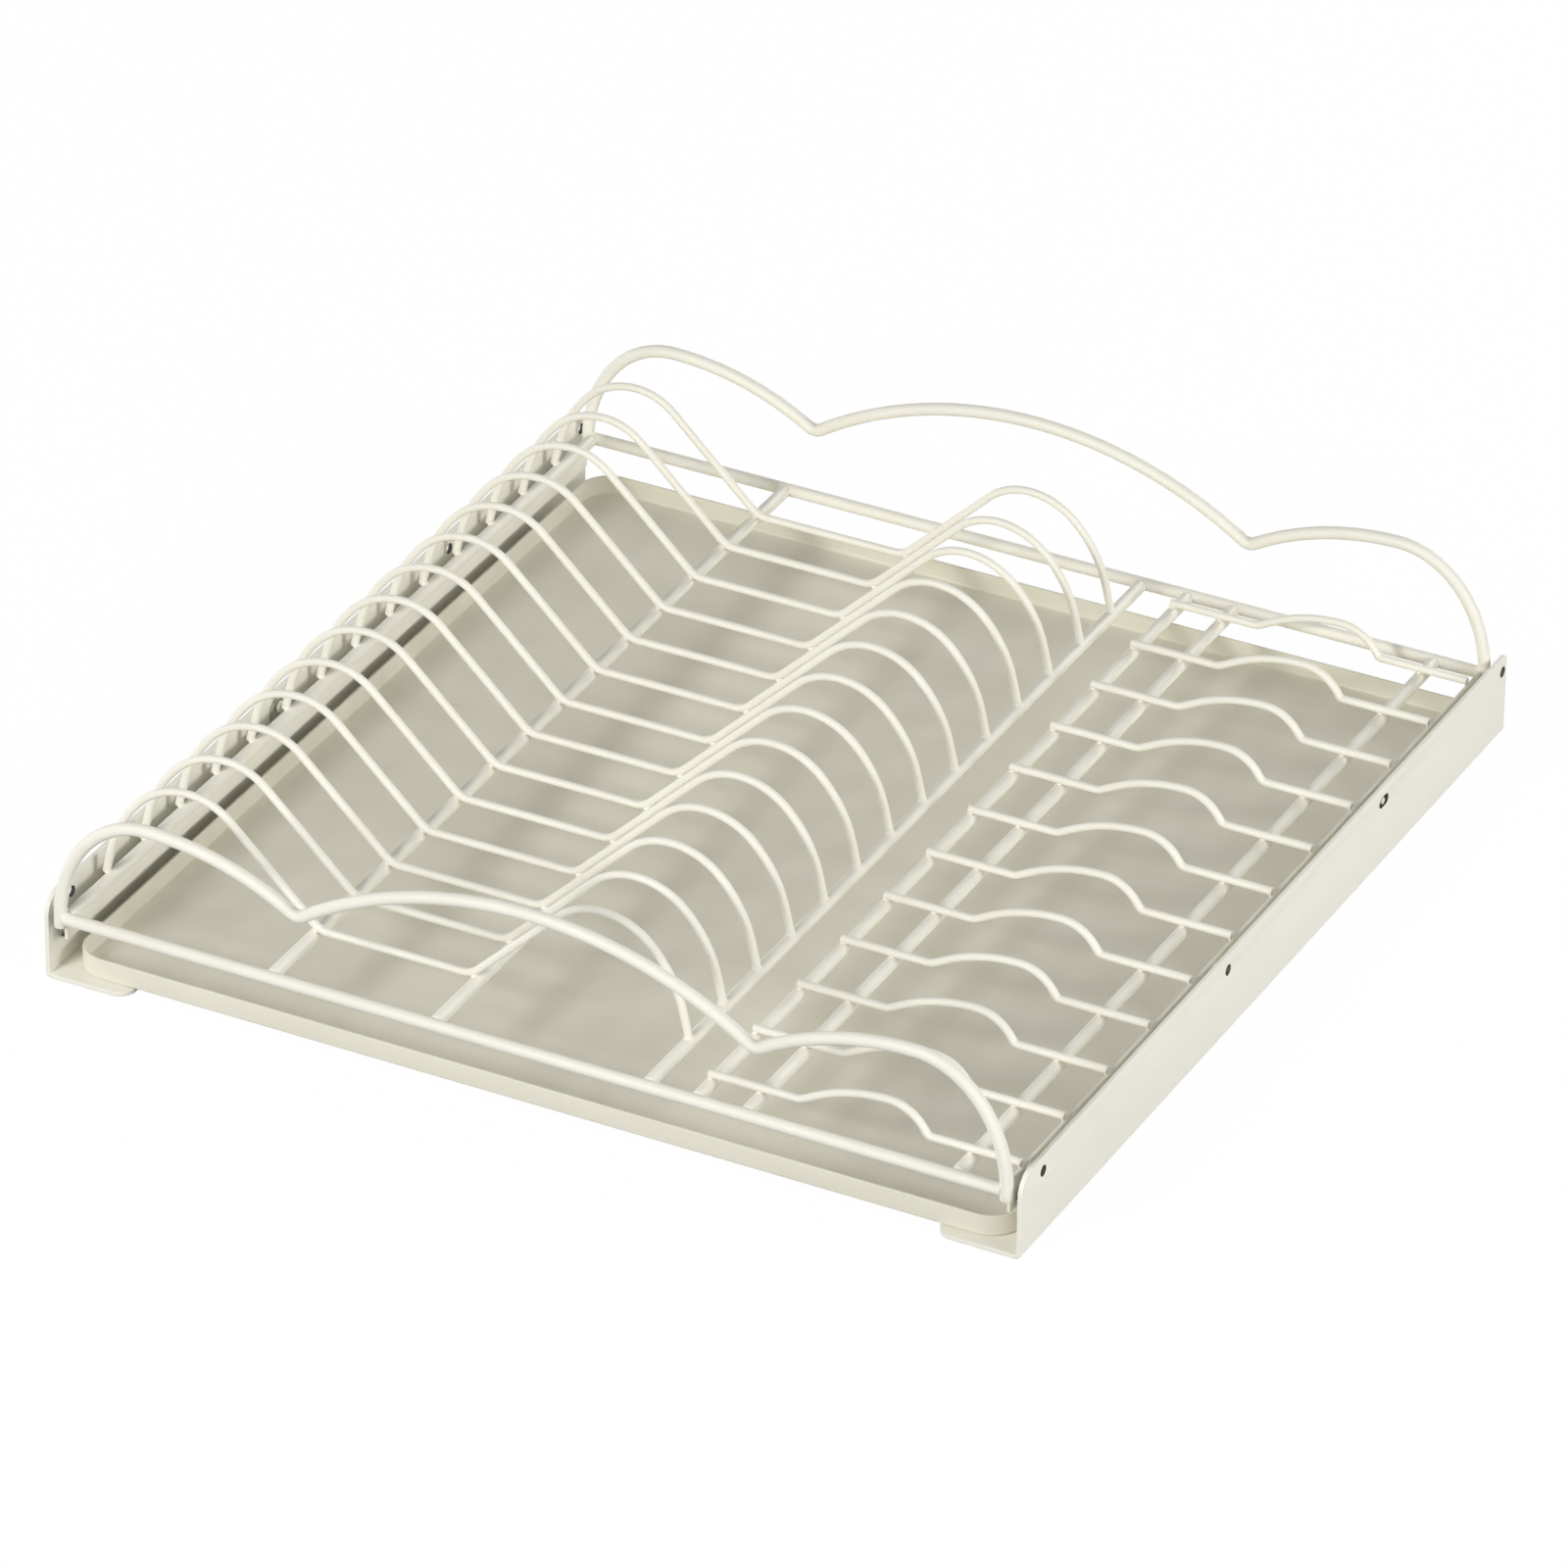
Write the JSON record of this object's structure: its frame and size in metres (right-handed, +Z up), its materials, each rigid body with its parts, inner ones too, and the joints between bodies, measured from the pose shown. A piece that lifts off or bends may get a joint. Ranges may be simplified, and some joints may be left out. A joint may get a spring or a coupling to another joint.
{
  "type": "pull-out dish rack",
  "caption": "Pull-out wire dish rack for a base cabinet: a plate cradle and a bowl rack on ball slides between two L-shaped side plates, over a drip tray.",
  "frame": {"origin": "middle of the footprint, on the surface that the side plates stand on", "axes": "+X to the right as seen from the front, the front and the pull-out direction face -Y, +Z up"},
  "size_m": [0.464, 0.486, 0.102],
  "materials": {
    "cream_coat": "satin powder coat",
    "zinc_steel": "zinc plated",
    "tray_plastic": "satin"
  },
  "bodies": {
    "cabinet_sides": {"side_plate_left": "cream_coat", "side_plate_right": "cream_coat", "slide_outer_left": "zinc_steel", "slide_outer_right": "zinc_steel", "slide_screw_left": "cream_coat", "slide_screw_right": "cream_coat"},
    "wire_basket": {"slide_inner_left": "zinc_steel", "slide_inner_right": "zinc_steel", "side_strip_left": "cream_coat", "side_strip_right": "cream_coat", "front_rail": "cream_coat", "rear_rail": "cream_coat", "front_guard": "cream_coat", "rear_guard": "cream_coat", "side_bar": "cream_coat", "cradle_bar_left": "cream_coat", "cradle_bar_right": "cream_coat", "plate_end_bar": "cream_coat", "bowl_end_bar": "cream_coat", "bowl_bar_left": "cream_coat", "bowl_bar_right": "cream_coat", "plate_wire_01": "cream_coat", "plate_wire_02": "cream_coat", "plate_wire_03": "cream_coat", "plate_wire_04": "cream_coat", "plate_wire_05": "cream_coat", "plate_wire_06": "cream_coat", "plate_wire_07": "cream_coat", "plate_wire_08": "cream_coat", "plate_wire_09": "cream_coat", "plate_wire_10": "cream_coat", "plate_wire_11": "cream_coat", "plate_wire_12": "cream_coat", "plate_wire_13": "cream_coat", "plate_wire_14": "cream_coat", "bowl_wire_01": "cream_coat", "bowl_wire_02": "cream_coat", "bowl_wire_03": "cream_coat", "bowl_wire_04": "cream_coat", "bowl_wire_05": "cream_coat", "bowl_wire_06": "cream_coat", "bowl_wire_07": "cream_coat", "bowl_wire_08": "cream_coat", "bowl_wire_09": "cream_coat", "bowl_wire_10": "cream_coat", "bowl_wire_11": "cream_coat", "bowl_wire_12": "cream_coat"},
    "left_cage": {"ball_cage_left": "zinc_steel"},
    "right_cage": {"ball_cage_right": "zinc_steel"},
    "tray": {"drip_tray": "tray_plastic"}
  },
  "joints": [
    {"name": "basket_slide", "type": "slide", "parent": "cabinet_sides", "child": "wire_basket", "axis": [0, -1, 0], "range_m": [0, 0.33]},
    {"name": "left_cage_slide", "type": "slide", "parent": "cabinet_sides", "child": "left_cage", "axis": [0, -1, 0], "range_m": [0, 0.165]},
    {"name": "right_cage_slide", "type": "slide", "parent": "cabinet_sides", "child": "right_cage", "axis": [0, -1, 0], "range_m": [0, 0.165]},
    {"name": "tray_slide", "type": "slide", "parent": "cabinet_sides", "child": "tray", "axis": [0, -1, 0], "range_m": [0, 0.44]}
  ],
  "couplings": [
    {"joint": "left_cage_slide", "follows": "basket_slide", "ratio": 0.5},
    {"joint": "right_cage_slide", "follows": "basket_slide", "ratio": 0.5}
  ]
}
